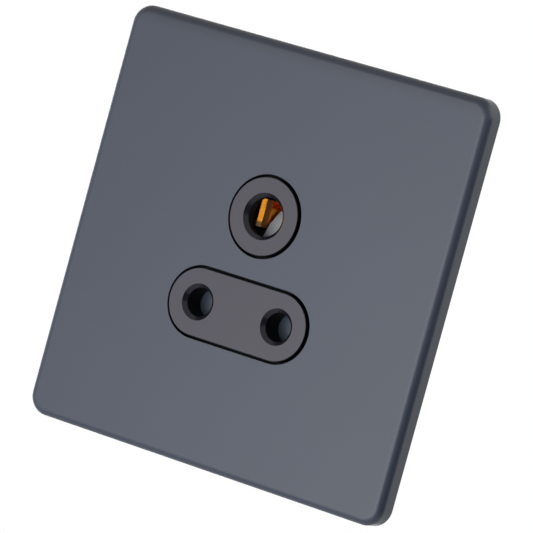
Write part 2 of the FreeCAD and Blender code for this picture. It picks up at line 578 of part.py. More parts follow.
# Front moulding: flange, two bosses and the room for the shutter
def make_socket_front():
    body = new_body("socket_front")
    flange = facing(body, "flange", "places.flange_back")
    draw_centred(flange, "sizes.flange_width", "sizes.flange_height", "sizes.flange_corner")
    pad(flange, "sizes.flange_wall")
    core = facing(body, "core", "places.joint")
    draw_centred(core, "sizes.core_width", "sizes.core_height", "sizes.core_corner")
    pad(core, "places.joint - places.flange_back")
    moats = facing(body, "moats", "places.flange_front")
    draw_circle(moats, "0", "sizes.earth_height", "sizes.earth_boss + sizes.boss_gap")
    draw_stadium(moats, "places.line_across", "places.live_height", "sizes.live_boss + sizes.boss_gap")
    pocket(moats, "sizes.moat_depth")
    bosses = facing(body, "bosses", "places.moat_floor")
    draw_circle(bosses, "0", "sizes.earth_height", "sizes.earth_boss")
    draw_stadium(bosses, "places.line_across", "places.live_height", "sizes.live_boss")
    pad(bosses, "places.moat_floor - places.boss_face")
    boss_face = number("places.boss_face")
    dress("Chamfer", body, lambda edge: lies_at_depth(edge, boss_face), "sizes.boss_edge")

    tray = facing(body, "cover_seat", "places.joint")
    reach = "(sizes.cover_width / 2 + sizes.cover_play)"
    draw_rectangle(tray, "-" + reach, reach, "-(sizes.cover_bottom + sizes.cover_play)",
                   "sizes.cover_top + sizes.cover_play")
    pocket(tray, "places.joint - places.cover_face", forwards=True)
    blades = facing(body, "blade_bay", "places.joint")
    reach = "(sizes.shutter_width / 2 + sizes.side_gap)"
    channel = "places.cover_slot_half"
    draw_polygon(blades, [("-" + reach, "places.bay_low"), (reach, "places.bay_low"),
                          (reach, "places.blade_high + sizes.side_gap"),
                          (channel, "places.blade_high + sizes.side_gap"),
                          (channel, "places.earth_low"), ("-" + channel, "places.earth_low"),
                          ("-" + channel, "places.blade_high + sizes.side_gap"),
                          ("-" + reach, "places.blade_high + sizes.side_gap")])
    pocket(blades, "places.joint - places.live_deck", forwards=True)
    earth = facing(body, "earth_bay", "places.joint")
    bay_foot = "sizes.earth_height - places.earth_hole - sizes.chamber_play"
    bay_top = "sizes.earth_height + places.earth_hole + sizes.chamber_play"
    draw_rectangle(earth, "-places.earth_room", "places.earth_room", bay_foot, bay_top)
    pocket(earth, "places.joint - places.live_deck", forwards=True)
    relief = facing(body, "earth_relief", "places.live_deck")
    draw_circle(relief, "0", "sizes.earth_height", "places.earth_hole + sizes.hole_relief")
    pocket(relief, "places.live_deck - places.earth_deck", forwards=True)
    groove = facing(body, "spring_groove", "places.joint")
    draw_rectangle(groove, "-places.spring_half", "places.spring_half", "places.bay_low", "places.notch_high")
    pocket(groove, "places.joint - places.spring_axis + places.spring_half", forwards=True)

    pins = facing(body, "pin_holes", "places.joint")
    draw_circle(pins, "0", "sizes.earth_height", "places.earth_hole")
    draw_circle(pins, "places.line_across", "places.live_height", "places.live_hole")
    draw_circle(pins, "-places.line_across", "places.live_height", "places.live_hole")
    pocket(pins, "places.joint - places.boss_face", forwards=True)
    radii = (number("places.earth_hole"), number("places.live_hole"))

    def is_mouth(edge):
        return lies_at_depth(edge, boss_face) and any(is_ring(edge, radius) for radius in radii)
    dress("Chamfer", body, is_mouth, "sizes.hole_chamfer")

    pilots = facing(body, "bolt_holes", "places.joint")
    for sign in ("", "-"):
        for other in ("", "-"):
            draw_circle(pilots, sign + "sizes.bolt_across", other + "sizes.bolt_rise", "places.bolt_pilot")
    pocket(pilots, "sizes.bolt_reach + sizes.bolt_room", forwards=True)
    slot = facing(body, "strap_slot", "places.joint")
    draw_rectangle(slot, "-places.strap_slot_half", "places.strap_slot_half",
                   "places.strap_slot_low", "places.strap_slot_high")
    pocket(slot, "places.joint - places.flange_front", forwards=True)
    recess = facing(body, "strap_recess", "places.flange_front")
    draw_rectangle(recess, "-places.strap_slot_half", "places.strap_slot_half",
                   "places.strap_slot_low", "sizes.flange_height / 2 + sizes.overrun")
    pocket(recess, "sizes.flange_wall")
    stays = facing(body, "frame_screw_holes", "places.flange_back")
    draw_circle(stays, "-sizes.stay_across", "sizes.stay_rise", "places.stay_pass")
    draw_circle(stays, "sizes.stay_across", "-sizes.stay_rise", "places.stay_pass")
    pocket(stays, "sizes.flange_wall", forwards=True)
    flange_front = number("places.flange_front")
    stay_radius = number("places.stay_pass")
    dress("Chamfer", body, lambda edge: lies_at_depth(edge, flange_front) and is_ring(edge, stay_radius),
          "sizes.stay_sink")


# Shutter carriage: two blades before the line and neutral holes and a ramp in the earth pin's way
def make_shutter_carriage():
    body = new_body("shutter_carriage")
    plate = facing(body, "blades", "places.shutter_rear")
    reach = "sizes.shutter_width / 2"
    draw_polygon(plate, [("-" + reach, "places.blade_low"), ("-sizes.notch_half", "places.blade_low"),
                         ("-sizes.notch_half", "places.notch_high"), ("sizes.notch_half", "places.notch_high"),
                         ("sizes.notch_half", "places.blade_low"), (reach, "places.blade_low"),
                         (reach, "places.blade_high"), ("places.stem_half", "places.blade_high"),
                         ("places.stem_half", "places.stem_high"), ("-places.stem_half", "places.stem_high"),
                         ("-places.stem_half", "places.blade_high"), ("-" + reach, "places.blade_high")])
    pad(plate, "sizes.shutter_wall")
    ramp = upright(body, "ramp")
    toe = "sizes.earth_height - sizes.ramp_toe_rise"
    knee = "sizes.earth_height - sizes.ramp_knee_rise"
    top = "sizes.earth_height + sizes.ramp_top_rise"
    draw_polygon(ramp, [("places.shutter_face", "places.stem_high"),
                        ("places.shutter_face + sizes.ramp_toe_depth", toe),
                        ("places.shutter_face + sizes.ramp_knee_depth", knee),
                        ("places.ramp_top_y", top), ("places.ramp_end_y", top),
                        ("places.ramp_end_y", knee + " + sizes.ramp_heel_rise"),
                        ("places.shutter_rear + sizes.ramp_wall", "places.stem_high"),
                        ("places.shutter_rear", "places.stem_high - sizes.ramp_root"),
                        ("places.shutter_face", "places.stem_high - sizes.ramp_root")])
    pad(ramp, "sizes.ramp_width", both_ways=True)
    peg = level(body, "peg", "places.notch_high - sizes.peg_length")
    draw_circle(peg, "0", "places.spring_axis", "places.peg_radius")
    pad(peg, "sizes.peg_length")


# Cover that keeps the shutter in the front moulding
def make_shutter_cover():
    body = new_body("shutter_cover")
    outline = facing(body, "outline", "places.joint")
    draw_rounded(outline, "-sizes.cover_width / 2", "sizes.cover_width / 2",
                 "-sizes.cover_bottom", "sizes.cover_top", "sizes.cover_corner")
    pad(outline, "sizes.cover_wall")
    openings = facing(body, "openings", "places.joint")
    pin_room = "places.live_hole + sizes.cover_play"
    draw_circle(openings, "places.line_across", "places.live_height", pin_room)
    draw_circle(openings, "-places.line_across", "places.live_height", pin_room)
    draw_rectangle(openings, "-places.spring_half", "places.spring_half", "places.bay_low", "places.notch_high")
    window_low = "places.earth_low - sizes.chamber_play"
    window_high = "places.earth_high + sizes.chamber_play"
    half = "places.cover_slot_half"
    draw_polygon(openings, [("-" + half, "places.ramp_slot_low"), (half, "places.ramp_slot_low"),
                            (half, window_low), ("places.earth_room", window_low),
                            ("places.earth_room", window_high), ("-places.earth_room", window_high),
                            ("-places.earth_room", window_low), ("-" + half, window_low)])
    pocket(openings, "sizes.cover_wall", forwards=True)


# Compression spring that lifts the shutter back
def make_shutter_spring():
    path = doc.addObject("Part::Helix", "spring_path")
    path.setExpression("Radius", "sizes.spring_radius")
    path.setExpression("Height", "places.spring_high - places.spring_low")
    path.setExpression("Pitch", "(places.spring_high - places.spring_low) / sizes.spring_turns")
    path.setExpression("Placement.Base.y", "places.spring_axis")
    path.setExpression("Placement.Base.z", "places.spring_low")
    path.SegmentLength = 1
    wire = doc.addObject("Part::RegularPolygon", "spring_wire_section")
    wire.setExpression("Polygon", "sizes.spring_sides")
    wire.setExpression("Circumradius", "sizes.spring_wire")
    wire.Placement.Rotation = FreeCAD.Rotation(FreeCAD.Vector(1, 0, 0), 90)
    wire.setExpression("Placement.Base.x", "sizes.spring_radius")
    wire.setExpression("Placement.Base.y", "places.spring_axis")
    wire.setExpression("Placement.Base.z", "places.spring_low")
    spring = doc.addObject("Part::Sweep", "spring_sweep")
    spring.Sections = [wire]
    spring.Spine = (path, [])
    spring.Solid = True
    spring.Frenet = True
    spring.Label = "shutter_spring"
    finished.append(spring)


# Two-leaf contact: flared lips, straight leaves, a web behind the pin and a tab to the terminal
def make_contact(name, across, throat, lip, low, high, tab_low, tab_high, hole_height):
    body = new_body(name)
    leaves = level(body, "leaves", low)
    inner = []
    outer = []
    for out, depth, sheet in (("sizes.lip_out", "0", "places.lip_sheet"),
                              ("sizes.lip_mid_out", "sizes.lip_mid_depth", "places.lip_sheet"),
                              ("0", "sizes.lip_depth", "sizes.contact_sheet")):
        inner.append((throat + " + " + out, lip + " + " + depth))
        outer.append((throat + " + " + out + " + " + sheet, lip + " + " + depth))
    right_side = outer + [(throat + " + sizes.contact_sheet", "sizes.contact_back")]
    right_inner = inner + [(throat, "places.tab_face")]
    profile = [(across + " + (" + x + ")", y) for x, y in right_side]
    profile += [(across + " - (" + x + ")", y) for x, y in reversed(right_side)]
    profile += [(across + " - (" + x + ")", y) for x, y in right_inner]
    profile += [(across + " + (" + x + ")", y) for x, y in reversed(right_inner)]
    draw_polygon(leaves, profile)
    pad(leaves, "(" + high + ") - (" + low + ")")
    bends = []
    for depth in (lip + " + sizes.lip_mid_depth", lip + " + sizes.lip_depth", "places.tab_face"):
        bends.append(number(depth))

    def is_bend(edge):
        return runs_along(edge, UPWARDS) and any(abs(edge.BoundBox.Center.y - bend) < 0.01 for bend in bends)
    dress("Fillet", body, is_bend, "sizes.contact_bend")
    tab = facing(body, "tab", "sizes.contact_back")
    draw_rectangle(tab, across + " - sizes.tab_width / 2", across + " + sizes.tab_width / 2", tab_low, tab_high)
    pad(tab, "sizes.contact_sheet")
    hole = facing(body, "screw_hole", "sizes.contact_back")
    draw_circle(hole, across, hole_height, "places.tab_hole")
    pocket(hole, "sizes.contact_sheet", forwards=True)


# Brass terminal block: a wire hole from its open end and a screw hole from the back
def make_terminal(name, across, low, wire_opens_up):
    body = new_body(name)
    block = facing(body, "block", "places.tab_face")
    draw_rectangle(block, across + " - sizes.block_width / 2", across + " + sizes.block_width / 2",
                   low, low + " + sizes.block_height")
    pad(block, "sizes.block_depth")
    dress("Chamfer", body, lambda edge: runs_along(edge, FRONT_TO_BACK), "sizes.block_edge")
    if wire_opens_up:
        wire = level(body, "wire_hole", low + " + sizes.block_height")
    else:
        wire = level(body, "wire_hole", low)
    draw_circle(wire, across, "places.block_axis", "sizes.wire_bore")
    pocket(wire, "sizes.wire_depth", forwards=not wire_opens_up)
    thread = facing(body, "screw_hole", "places.tab_face")
    draw_circle(thread, across, low + " + sizes.block_height / 2", "places.thread_hole")
    pocket(thread, "sizes.block_depth / 2", forwards=True)


# Screws stand with their heads to the back, apart from the countersunk ones of the frame
def lie_along_depth(piece, across, depth, height):
    piece.Placement.Rotation = FreeCAD.Rotation(FreeCAD.Vector(1, 0, 0), -90)
    piece.setExpression("Placement.Base.x", across)
    piece.setExpression("Placement.Base.y", depth)
    piece.setExpression("Placement.Base.z", height)


def make_screw(name, across, height, tip, seat, shank, head, head_depth):
    rod = doc.addObject("Part::Cylinder", name + "_rod")
    rod.setExpression("Radius", shank)
    rod.setExpression("Height", "(" + seat + ") - (" + tip + ") + (" + head_depth + ") / 2")
    lie_along_depth(rod, across, tip, height)
    cap = doc.addObject("Part::Cylinder", name + "_cap")
    cap.setExpression("Radius", head)
    cap.setExpression("Height", head_depth)
    lie_along_depth(cap, across, seat, height)
    whole = doc.addObject("Part::Fuse", name + "_whole")
    whole.Base = rod
    whole.Tool = cap
    drive = doc.addObject("Part::Box", name + "_drive")
    drive.setExpression("Length", "2 * (" + head + ") + 2 * sizes.overrun")
    drive.setExpression("Width", "sizes.drive_depth + sizes.overrun")
    drive.setExpression("Height", "sizes.drive_width")
    drive.setExpression("Placement.Base.x", across + " - (" + head + ") - sizes.overrun")
    drive.setExpression("Placement.Base.y", "(" + seat + ") + (" + head_depth + ") - sizes.drive_depth")
    drive.setExpression("Placement.Base.z", "(" + height + ") - sizes.drive_width / 2")
    screw = doc.addObject("Part::Cut", name + "_screw")
    screw.Base = whole
    screw.Tool = drive
    screw.Label = name
    finished.append(screw)


def make_terminal_screw(name, across, low):
    make_screw(name, across, low + " + sizes.block_height / 2", "places.screw_tip", "places.screw_seat",
               "sizes.screw_shank", "sizes.screw_head", "sizes.screw_head_depth")


def make_housing_screw(name, across, height):
    make_screw(name, across, height, "places.joint - sizes.bolt_reach", "places.bolt_seat",
               "sizes.bolt_shank", "sizes.bolt_head", "sizes.bolt_head_depth")


def make_frame_screw(name, across, height):
    head = doc.addObject("Part::Cone", name + "_head")
    head.setExpression("Radius1", "sizes.stay_shank + sizes.stay_sink")
    head.setExpression("Radius2", "sizes.stay_shank")
    head.setExpression("Height", "sizes.stay_sink")
    lie_along_depth(head, across, "places.flange_front + sizes.screw_play", height)
    rod = doc.addObject("Part::Cylinder", name + "_rod")
    rod.setExpression("Radius", "sizes.stay_shank")
    rod.setExpression("Height", "-places.flange_front - 2 * sizes.screw_play - sizes.stay_sink / 2")
    lie_along_depth(rod, across, "places.flange_front + sizes.screw_play + sizes.stay_sink / 2", height)
    whole = doc.addObject("Part::Fuse", name + "_whole")
    whole.Base = head
    whole.Tool = rod
    drive = doc.addObject("Part::Box", name + "_drive")
    drive.setExpression("Length", "2 * (sizes.stay_shank + sizes.stay_sink) + 2 * sizes.overrun")
    drive.setExpression("Width", "sizes.stay_sink / 2 + sizes.overrun")
    drive.setExpression("Height", "sizes.drive_width")
    drive.setExpression("Placement.Base.x", across + " - (sizes.stay_shank + sizes.stay_sink) - sizes.overrun")
    drive.setExpression("Placement.Base.y", "places.flange_front + sizes.screw_play - sizes.overrun")
    drive.setExpression("Placement.Base.z", "(" + height + ") - sizes.drive_width / 2")
    screw = doc.addObject("Part::Cut", name + "_screw")
    screw.Base = whole
    screw.Tool = drive
    screw.Label = name
    finished.append(screw)


# Earth strap: under the earth screw's head, over the block, out of the front and on to the metal plate
def make_earth_strap():
    body = new_body("earth_strap")
    bend = upright(body, "bend")
    foot = "places.earth_block_low + sizes.strap_foot"
    tip = "places.strap_high + sizes.strap_finger"
    draw_polygon(bend, [("sizes.contact_back", foot), ("places.strap_rear", foot),
                        ("places.strap_rear", "places.strap_high"),
                        ("places.flange_back", "places.strap_high"),
                        ("places.strap_tip + sizes.strap_sheet", tip), ("places.strap_tip", tip),
                        ("places.flange_back - sizes.strap_sheet", "places.strap_low"),
                        ("sizes.contact_back", "places.strap_low")])
    pad(bend, "sizes.strap_width", both_ways=True)
    hole = facing(body, "screw_hole", "places.strap_rear")
    draw_circle(hole, "0", "places.earth_block_low + sizes.block_height / 2",
                "places.tab_hole")
    pocket(hole, "sizes.strap_sheet", forwards=True)
    wire = level(body, "wire_hole", "places.strap_high")
    draw_circle(wire, "0", "places.block_axis", "places.wire_entry")
    pocket(wire, "sizes.strap_sheet")


# Rear housing with three chambers, wire entries and counterbored screws
def make_rear_housing():
    body = new_body("rear_housing")
    outline = facing(body, "outline", "places.rear_face")
    draw_centred(outline, "sizes.core_width", "sizes.core_height", "sizes.core_corner")
    pad(outline, "places.rear_face - places.joint")
    back = number("places.rear_face")
    dress("Fillet", body, lambda edge: lies_at_depth(edge, back), "sizes.rear_edge")
    depth = "places.chamber_end - places.joint"

    earth = facing(body, "earth_chamber", "places.joint")
    leaf_top = "places.earth_high + sizes.chamber_play"
    block_top = "places.strap_slot_high"
    foot = "places.ramp_slot_low"
    draw_polygon(earth, [("-places.earth_room", foot), ("places.earth_room", foot),
                         ("places.earth_room", leaf_top), ("places.block_half", leaf_top),
                         ("places.block_half", block_top), ("-places.block_half", block_top),
                         ("-places.block_half", leaf_top), ("-places.earth_room", leaf_top)])
    pocket(earth, depth)
    live = facing(body, "live_chambers", "places.joint")
    leaf_high = "places.live_high + sizes.chamber_play"
    leaf_low = "places.live_low - sizes.chamber_play"
    block_foot = "places.live_block_low - sizes.block_play"
    for sign in ("", "-"):
        middle = sign + "places.line_across"
        wide_left = middle + " - places.live_room"
        wide_right = middle + " + places.live_room"
        left = middle + " - places.block_half"
        right = middle + " + places.block_half"
        draw_polygon(live, [(left, block_foot), (right, block_foot), (right, leaf_low), (wide_right, leaf_low),
                            (wide_right, leaf_high), (wide_left, leaf_high), (wide_left, leaf_low),
                            (left, leaf_low)])
    pocket(live, depth)

    access = facing(body, "screw_access", "places.rear_face")
    live_screw = "places.live_block_low + sizes.block_height / 2"
    draw_circle(access, "0", "places.earth_block_low + sizes.block_height / 2", "places.screw_access")
    draw_circle(access, "places.line_across", live_screw, "places.screw_access")
    draw_circle(access, "-places.line_across", live_screw, "places.screw_access")
    pocket(access, "sizes.rear_wall + sizes.overlap", forwards=True)
    upper = level(body, "earth_wire_entry", "sizes.core_height / 2")
    draw_circle(upper, "0", "places.block_axis", "places.wire_entry")
    pocket(upper, "sizes.core_height / 2 - places.earth_block_high")
    lower = level(body, "live_wire_entries", "-sizes.core_height / 2")
    draw_circle(lower, "places.line_across", "places.block_axis", "places.wire_entry")
    draw_circle(lower, "-places.line_across", "places.block_axis", "places.wire_entry")
    pocket(lower, "sizes.core_height / 2 + places.live_block_low", forwards=True)

    passes = facing(body, "bolt_passes", "places.rear_face")
    sinks = facing(body, "bolt_sinks", "places.rear_face")
    for sign in ("", "-"):
        for other in ("", "-"):
            draw_circle(passes, sign + "sizes.bolt_across", other + "sizes.bolt_rise", "places.bolt_pass")
            draw_circle(sinks, sign + "sizes.bolt_across", other + "sizes.bolt_rise", "places.bolt_sink_radius")
    pocket(passes, "places.rear_face - places.joint", forwards=True)
    pocket(sinks, "sizes.bolt_sink", forwards=True)


make_front_plate()
make_clip_frame()
make_socket_front()
make_shutter_carriage()
make_shutter_cover()
make_shutter_spring()
make_rear_housing()
make_contact("earth_contact", "0", "places.earth_throat", "places.earth_lip_y", "places.earth_low",
             "places.earth_high", "places.earth_high - sizes.tab_lap", "places.earth_block_high",
             "places.earth_block_low + sizes.block_height / 2")
make_terminal("earth_terminal", "0", "places.earth_block_low", True)
make_terminal_screw("earth_terminal_screw", "0", "places.earth_block_low")
for pole, middle in (("line", "places.line_across"), ("neutral", "-places.line_across")):
    make_contact(pole + "_contact", middle, "places.live_throat", "places.live_lip_y", "places.live_low",
                 "places.live_high", "places.live_block_low", "places.live_low + sizes.tab_lap",
                 "places.live_block_low + sizes.block_height / 2")
    make_terminal(pole + "_terminal", middle, "places.live_block_low", False)
    make_terminal_screw(pole + "_terminal_screw", middle, "places.live_block_low")
make_earth_strap()
make_housing_screw("housing_screw_upper_right", "sizes.bolt_across", "sizes.bolt_rise")
make_housing_screw("housing_screw_upper_left", "-sizes.bolt_across", "sizes.bolt_rise")
make_housing_screw("housing_screw_lower_right", "sizes.bolt_across", "-sizes.bolt_rise")
make_housing_screw("housing_screw_lower_left", "-sizes.bolt_across", "-sizes.bolt_rise")
make_frame_screw("frame_screw_upper", "-sizes.stay_across", "sizes.stay_rise")
make_frame_screw("frame_screw_lower", "sizes.stay_across", "-sizes.stay_rise")
doc.recompute()

# Nothing is written unless every object is sound
faults = []
for item in doc.Objects:
    if "Invalid" in item.State or "Error" in item.State:
        faults.append(item.Label + " is in error")
for item in finished:
    if item.Shape.isNull() or not item.Shape.isValid():
        faults.append(item.Label + " has no sound shape")
    elif len(item.Shape.Solids) != 1:
        faults.append(item.Label + " is not one solid")
if faults:
    raise RuntimeError("; ".join(faults))

os.makedirs("parts", exist_ok=True)
for item in finished:
    item.Shape.exportStep("parts/" + item.Label + ".step")
    box = item.Shape.BoundBox
    print("%-28s %9.1f mm3  X %.2f %.2f  Y %.2f %.2f  Z %.2f %.2f" % (
        item.Label, item.Shape.Volume, box.XMin, box.XMax, box.YMin, box.YMax, box.ZMin, box.ZMax))
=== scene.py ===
"""Looks and studio for a single round pin socket outlet with a screwless metal front plate.

The solids of the frame give every shape. This file gives them their finishes, smooth faces and
softened edges, winds the shutter's spring from round wire, and sets up the studio.
Lengths are in metres. X runs right as seen from the room, -Y into the room and Z up.
"""
import math

import bmesh
import bpy
from bpy.props import FloatProperty, FloatVectorProperty, PointerProperty
from mathutils import Matrix, Vector


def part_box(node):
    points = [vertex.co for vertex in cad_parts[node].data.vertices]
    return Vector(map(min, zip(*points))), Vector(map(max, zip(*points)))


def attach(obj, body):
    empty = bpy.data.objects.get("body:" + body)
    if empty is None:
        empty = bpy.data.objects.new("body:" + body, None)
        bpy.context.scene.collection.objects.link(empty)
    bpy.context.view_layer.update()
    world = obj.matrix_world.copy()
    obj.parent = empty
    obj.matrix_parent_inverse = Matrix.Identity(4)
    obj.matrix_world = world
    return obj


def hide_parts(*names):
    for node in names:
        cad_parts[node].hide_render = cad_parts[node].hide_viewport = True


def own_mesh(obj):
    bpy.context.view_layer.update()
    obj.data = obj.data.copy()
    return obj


bl_info = {
    "name": "Round Pin Socket Outlet",
    "version": (1, 0, 0),
    "blender": (4, 5, 0),
    "location": "3D View > Sidebar > Outlet",
    "description": "Finishes, fine work and studio for a round pin socket outlet",
    "category": "Object",
}

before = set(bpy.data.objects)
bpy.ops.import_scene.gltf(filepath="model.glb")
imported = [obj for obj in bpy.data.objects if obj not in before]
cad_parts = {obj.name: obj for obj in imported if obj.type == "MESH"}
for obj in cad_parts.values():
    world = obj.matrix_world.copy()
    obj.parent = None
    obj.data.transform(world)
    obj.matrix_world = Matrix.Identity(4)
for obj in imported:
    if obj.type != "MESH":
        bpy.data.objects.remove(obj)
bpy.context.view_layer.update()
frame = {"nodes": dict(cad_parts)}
PHOTO_WIDTH = 533
SENSOR_WIDTH = 36.0
MM = 0.001
MIDDLE = (0.0, 0.0, 0.0)

# Faces of the spring's wire
COIL_STEPS = 32
WIRE_SIDES = 12

# Where a finish changes over a piece, and over what length
# Painted shade: the paint darkens over this length below the plate's upper edge
TOP_SHADE_START = 38.8 * MM
TOP_SHADE_FADE = 4 * MM
RAMP_FOOT = -2 * MM
# Painted shade across the contact lips lies between these two depths
BEND_SHADE_FRONT = 1.9 * MM
BEND_SHADE_BACK = 3.0 * MM
SHARP_FADE = 0.1 * MM
# The contacts get darker below this height
FOOT_DARKENS = 7.2 * MM
FOOT_FADE = 0.3 * MM
# Faces deeper than this get the painted shade of the recesses
RECESS_SHADE_FRONT = -3.5 * MM
FACE_DEPTH = 0.01 * MM

# Parts of a piece's half width
CUT_OUT_REACH = 0.5
OUTSIDE_REACH = 0.9

# Studio: place and size of the lamps, and place, width and height of the card
KEY_LAMP = ((-0.06, -0.5, -0.14), 0.5)
REAR_LAMP = ((-0.45, 0.65, -0.05), 0.6)
SIDE_LAMP = ((0.45, 0.2, 0.4), 0.5)
GLINT_LAMP = ((0.38, -0.41, 0.0), 0.1)
CARD_PLACE = (0.6, -0.236, -0.15)
CARD_WIDTH = 1.6
CARD_HEIGHT = 0.52


def colour_property(name, description, value):
    return FloatVectorProperty(
        name=name, description=description, default=value, size=3, min=0.0, max=1.0, subtype="COLOR"
    )


class OutletFinishes(bpy.types.PropertyGroup):
    """Colours and surface values that a user would change."""

    paint: colour_property("Paint", "Colour of the painted front plate", (0.035, 0.045, 0.07))
    paint_roughness: FloatProperty(
        name="Paint roughness", description="How matt the paint is", default=0.4, min=0.0, max=1.0,
        subtype="FACTOR",
    )
    grain: FloatProperty(
        name="Paint grain", description="Size of the paint's fine texture", default=0.32 * MM,
        min=0.05 * MM, unit="LENGTH",
    )
    # Painted shade on the cut-out walls, in the gap round the bosses
    cut_edge_shade: colour_property("Punched edges", "Colour of the edges of the cut-outs", (0.008, 0.009, 0.012))
    socket: colour_property("Socket", "Colour of the front and rear mouldings", (0.036, 0.033, 0.049))
    polished: colour_property("Polished moulding", "Colour of the chamfers round the holes", (0.011, 0.011, 0.017))
    # Painted shade: near-black colour for the hole walls and flange behind the plate
    recess_shade: colour_property("Recesses", "Colour of the hole walls and of the flange", (0.004, 0.004, 0.005))
    frame: colour_property("Clip frame", "Colour of the clip frame and shutter cover", (0.028, 0.028, 0.031))
    ramp: colour_property("Ramp", "Colour of the shutter's ramp", (0.78, 0.82, 0.88))
    blades: colour_property("Blades", "Colour of the shutter's blades", (0.035, 0.05, 0.078))
    bronze: colour_property("Bronze", "Colour of the contacts and the earth strap", (0.9, 0.34, 0.03))
    brass: colour_property("Brass", "Colour of the terminal blocks", (0.78, 0.58, 0.28))
    steel: colour_property("Steel", "Colour of the screws", (0.66, 0.65, 0.62))
    wire: colour_property("Spring wire", "Colour of the shutter's spring", (0.56, 0.56, 0.57))


class OutletShapes(bpy.types.PropertyGroup):
    """Rounds along the edges and the sizes of the shutter's spring."""

    sharp_angle: FloatProperty(
        name="Sharp angle", description="Edges bent more than this stay sharp", default=math.radians(28),
        subtype="ANGLE", unit="ROTATION",
    )
    moulded: FloatProperty(
        name="Moulded edges", description="Round on the edges of mouldings", default=0.12 * MM, min=0.0,
        unit="LENGTH",
    )
    metal: FloatProperty(
        name="Metal edges", description="Round on the edges of metal parts", default=0.08 * MM, min=0.0,
        unit="LENGTH",
    )
    spring_wire: FloatProperty(
        name="Spring wire", description="Radius of the spring's wire", default=0.18 * MM, min=0.05 * MM,
        unit="LENGTH",
    )
    spring_turns: FloatProperty(
        name="Spring turns", description="Turns of the shutter's spring", default=4.5, min=1.0,
    )
    shutter_travel: FloatProperty(
        name="Shutter travel", description="How far the shutter presses the spring", default=6.0 * MM, min=0.0,
        unit="LENGTH",
    )


class OutletStudio(bpy.types.PropertyGroup):
    """Camera, lamps and floor."""

    azimuth: FloatProperty(
        name="Azimuth", description="How far right of the plate the camera stands",
        default=math.radians(31.331), subtype="ANGLE", unit="ROTATION",
    )
    elevation: FloatProperty(
        name="Elevation", description="How far above the plate the camera stands",
        default=math.radians(3.392), subtype="ANGLE", unit="ROTATION",
    )
    roll: FloatProperty(
        name="Roll", description="Turn of the camera about its own line of sight",
        default=math.radians(-15.342), subtype="ANGLE", unit="ROTATION",
    )
    distance: FloatProperty(
        name="Distance", description="Camera to the middle of the plate", default=0.87956, min=0.1,
        unit="LENGTH",
    )
    aim: FloatVectorProperty(
        name="Aim", description="Point that the camera looks at", default=(3.461 * MM, -4.5 * MM, -0.54 * MM),
        size=3, subtype="TRANSLATION",
    )
    focal_pixels: FloatProperty(
        name="Focal length", description="Focal length in pixels of the picture", default=4461.8, min=1.0,
    )
    key_power: FloatProperty(
        name="Key", description="Power of the soft lamp before the plate", default=3.05, min=0.0,
    )
    rear_power: FloatProperty(
        name="Rear", description="Power of the soft lamp behind the plate", default=5.0, min=0.0,
    )
    side_power: FloatProperty(
        name="Side", description="Power of the soft lamp beside the plate", default=1.2, min=0.0,
    )
    glint_power: FloatProperty(
        name="Glint", description="Power of the small lamp that the contact's lip reflects", default=0.056, min=0.0,
    )
    room_light: FloatProperty(
        name="Room light", description="Even light from all round", default=0.2, min=0.0,
    )
    floor_drop: FloatProperty(
        name="Floor", description="Floor below the middle of the plate", default=1.0, min=0.05,
        unit="LENGTH",
    )
    floor_radius: FloatProperty(
        name="Floor radius", description="Radius of the round floor", default=1.5, min=0.1, unit="LENGTH",
    )


class Signal:
    """A shader value that takes part in Python's own arithmetic."""

    def __init__(self, finish, socket):
        self.finish = finish
        self.socket = socket

    def reckon(self, operation, first, second):
        return self.finish.add("ShaderNodeMath", {"operation": operation}, {0: first, 1: second})

    def __add__(self, other):
        return self.reckon("ADD", self, other)

    __radd__ = __add__

    def __mul__(self, other):
        return self.reckon("MULTIPLY", self, other)

    __rmul__ = __mul__

    def __sub__(self, other):
        return self.reckon("SUBTRACT", self, other)

    def __rsub__(self, other):
        return self.reckon("SUBTRACT", other, self)


class Finish:
    """A node tree that is filled by one method."""

    def __init__(self, tree):
        self.tree = tree

    def feed(self, socket, value):
        if isinstance(value, Signal):
            self.tree.links.new(value.socket, socket)
        else:
            socket.default_value = value

    def add(self, kind, settings, inputs, output=0):
        node = self.tree.nodes.new(kind)
        for name, value in settings.items():
            if name == "stops":
                for index, (position, shade) in enumerate(value):
                    stop = node.color_ramp.elements[index]
                    stop.position = position
                    stop.color = shade
            else:
                setattr(node, name, value)
        for key, value in inputs.items():
            self.feed(node.inputs[key], value)
        return Signal(self, node.outputs[output])

    def blend(self, factor, first, second):
        return self.add("ShaderNodeMix", {"data_type": "RGBA"}, {0: factor, 6: first, 7: second}, 2)


